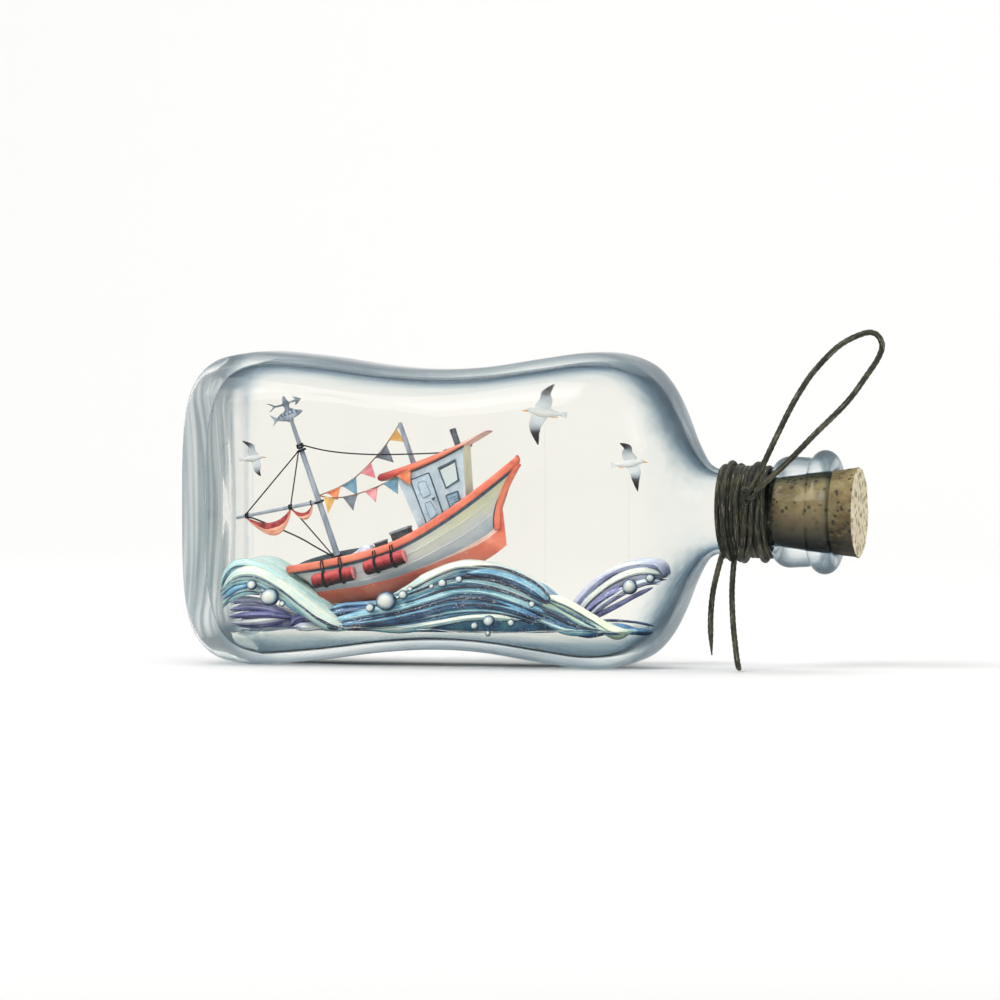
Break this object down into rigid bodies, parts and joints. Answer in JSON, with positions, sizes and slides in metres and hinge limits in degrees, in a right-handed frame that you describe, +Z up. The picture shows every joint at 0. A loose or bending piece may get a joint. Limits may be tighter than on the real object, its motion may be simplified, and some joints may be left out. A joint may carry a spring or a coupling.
{
  "type": "ship in a bottle",
  "caption": "Corked flask-shaped glass bottle lying on its side, with a fishing boat on sculpted waves inside and a cord wound around its neck.",
  "frame": {"origin": "on the resting surface, under the middle of the bottle and cork", "axes": "+X along the bottle's axis towards the cork, +Z up, -Y towards the viewer of the boat's starboard side"},
  "size_m": [0.2106, 0.0598, 0.1014],
  "materials": {
    "bottle_glass": "clear, faintly blue-grey",
    "cork": "natural cork, pitted",
    "cord": "waxed cord, dark olive",
    "clear_resin": "frosted clear",
    "wave_aqua": "hand-painted gloss",
    "wave_blue": "hand-painted gloss",
    "wave_violet": "hand-painted gloss",
    "bubble_glass": "clear",
    "hull_paint": "painted, satin",
    "deck_paint": "painted, matt",
    "coral_paint": "painted, satin",
    "house_paint": "painted, satin",
    "dark_paint": "painted, satin",
    "dark_metal": "satin",
    "hatch_paint": "painted, satin",
    "window_glass": "clear",
    "mast_paint": "painted, satin",
    "vane_metal": "satin",
    "sail_cloth": "plain weave",
    "rigging": "waxed thread",
    "pennant_yellow": "plain weave",
    "pennant_blue": "plain weave",
    "pennant_pink": "plain weave",
    "pennant_grey": "plain weave",
    "pennant_orange": "plain weave",
    "fender_rubber": "satin",
    "crate_paint": "painted, matt",
    "tarp_cloth": "plain weave",
    "gull_ceramic": "painted, satin",
    "clear_rod": "clear acrylic rod"
  },
  "bodies": {
    "bottle_and_scene": {"bottle": "bottle_glass", "neck_winding": "cord", "cord_knot": "cord", "hang_loop": "cord", "cord_tail_short": "cord", "cord_tail_long": "cord", "sea_bed": "clear_resin", "wave_left_curl": "wave_aqua", "wave_left_low": "wave_violet", "wave_centre": "wave_blue", "wave_right_ribbon": "wave_aqua", "wave_right_back": "wave_violet", "bubbles_left": "bubble_glass", "bubbles_centre": "bubble_glass", "bubbles_right": "bubble_glass", "hull": "hull_paint", "deck": "deck_paint", "gunwale_rail": "coral_paint", "stem_post": "coral_paint", "wheelhouse": "house_paint", "wheelhouse_roof": "coral_paint", "door": "house_paint", "door_knob": "dark_metal", "window_frames": "dark_paint", "window_panes": "window_glass", "vent_hatch": "hatch_paint", "funnel": "dark_metal", "roof_mast": "mast_paint", "aft_mast": "mast_paint", "mast_pole": "mast_paint", "masthead_lashing": "rigging", "stay": "rigging", "bunting_line_upper": "rigging", "bunting_line_lower": "rigging", "pennants_yellow": "pennant_yellow", "pennants_blue": "pennant_blue", "pennants_pink": "pennant_pink", "pennants_grey": "pennant_grey", "pennants_orange": "pennant_orange", "fenders": "fender_rubber", "fender_ropes": "rigging", "crates": "crate_paint", "tarp": "tarp_cloth", "gull_large": "gull_ceramic", "gull_right": "gull_ceramic", "gull_left": "gull_ceramic", "gull_stems": "clear_rod"},
    "cork": {"cork": "cork"},
    "boom": {"boom": "mast_paint", "sail_large": "sail_cloth", "sail_small": "sail_cloth", "boom_lashings": "rigging", "mast_loops": "rigging", "topping_lift_outer": "rigging", "topping_lift_inner": "rigging", "boom_line_outer": "rigging", "boom_line_inner": "rigging"},
    "vane": {"vane_sleeve": "mast_paint", "vane_arrow": "vane_metal", "vane_fish": "vane_metal"}
  },
  "joints": [
    {"name": "cork_pull", "type": "slide", "parent": "bottle_and_scene", "child": "cork", "axis": [1, 0, 0], "range_m": [0, 0.035]},
    {"name": "boom_swing", "type": "hinge", "parent": "bottle_and_scene", "child": "boom", "pos_m": [-0.05703, 0, 0.0253], "axis": [-0.3338, 0, 0.9426], "range_deg": [-15, 15]},
    {"name": "vane_spin", "type": "hinge", "parent": "bottle_and_scene", "child": "vane", "pos_m": [-0.05703, 0, 0.0253], "axis": [-0.3338, 0, 0.9426], "continuous": true}
  ]
}
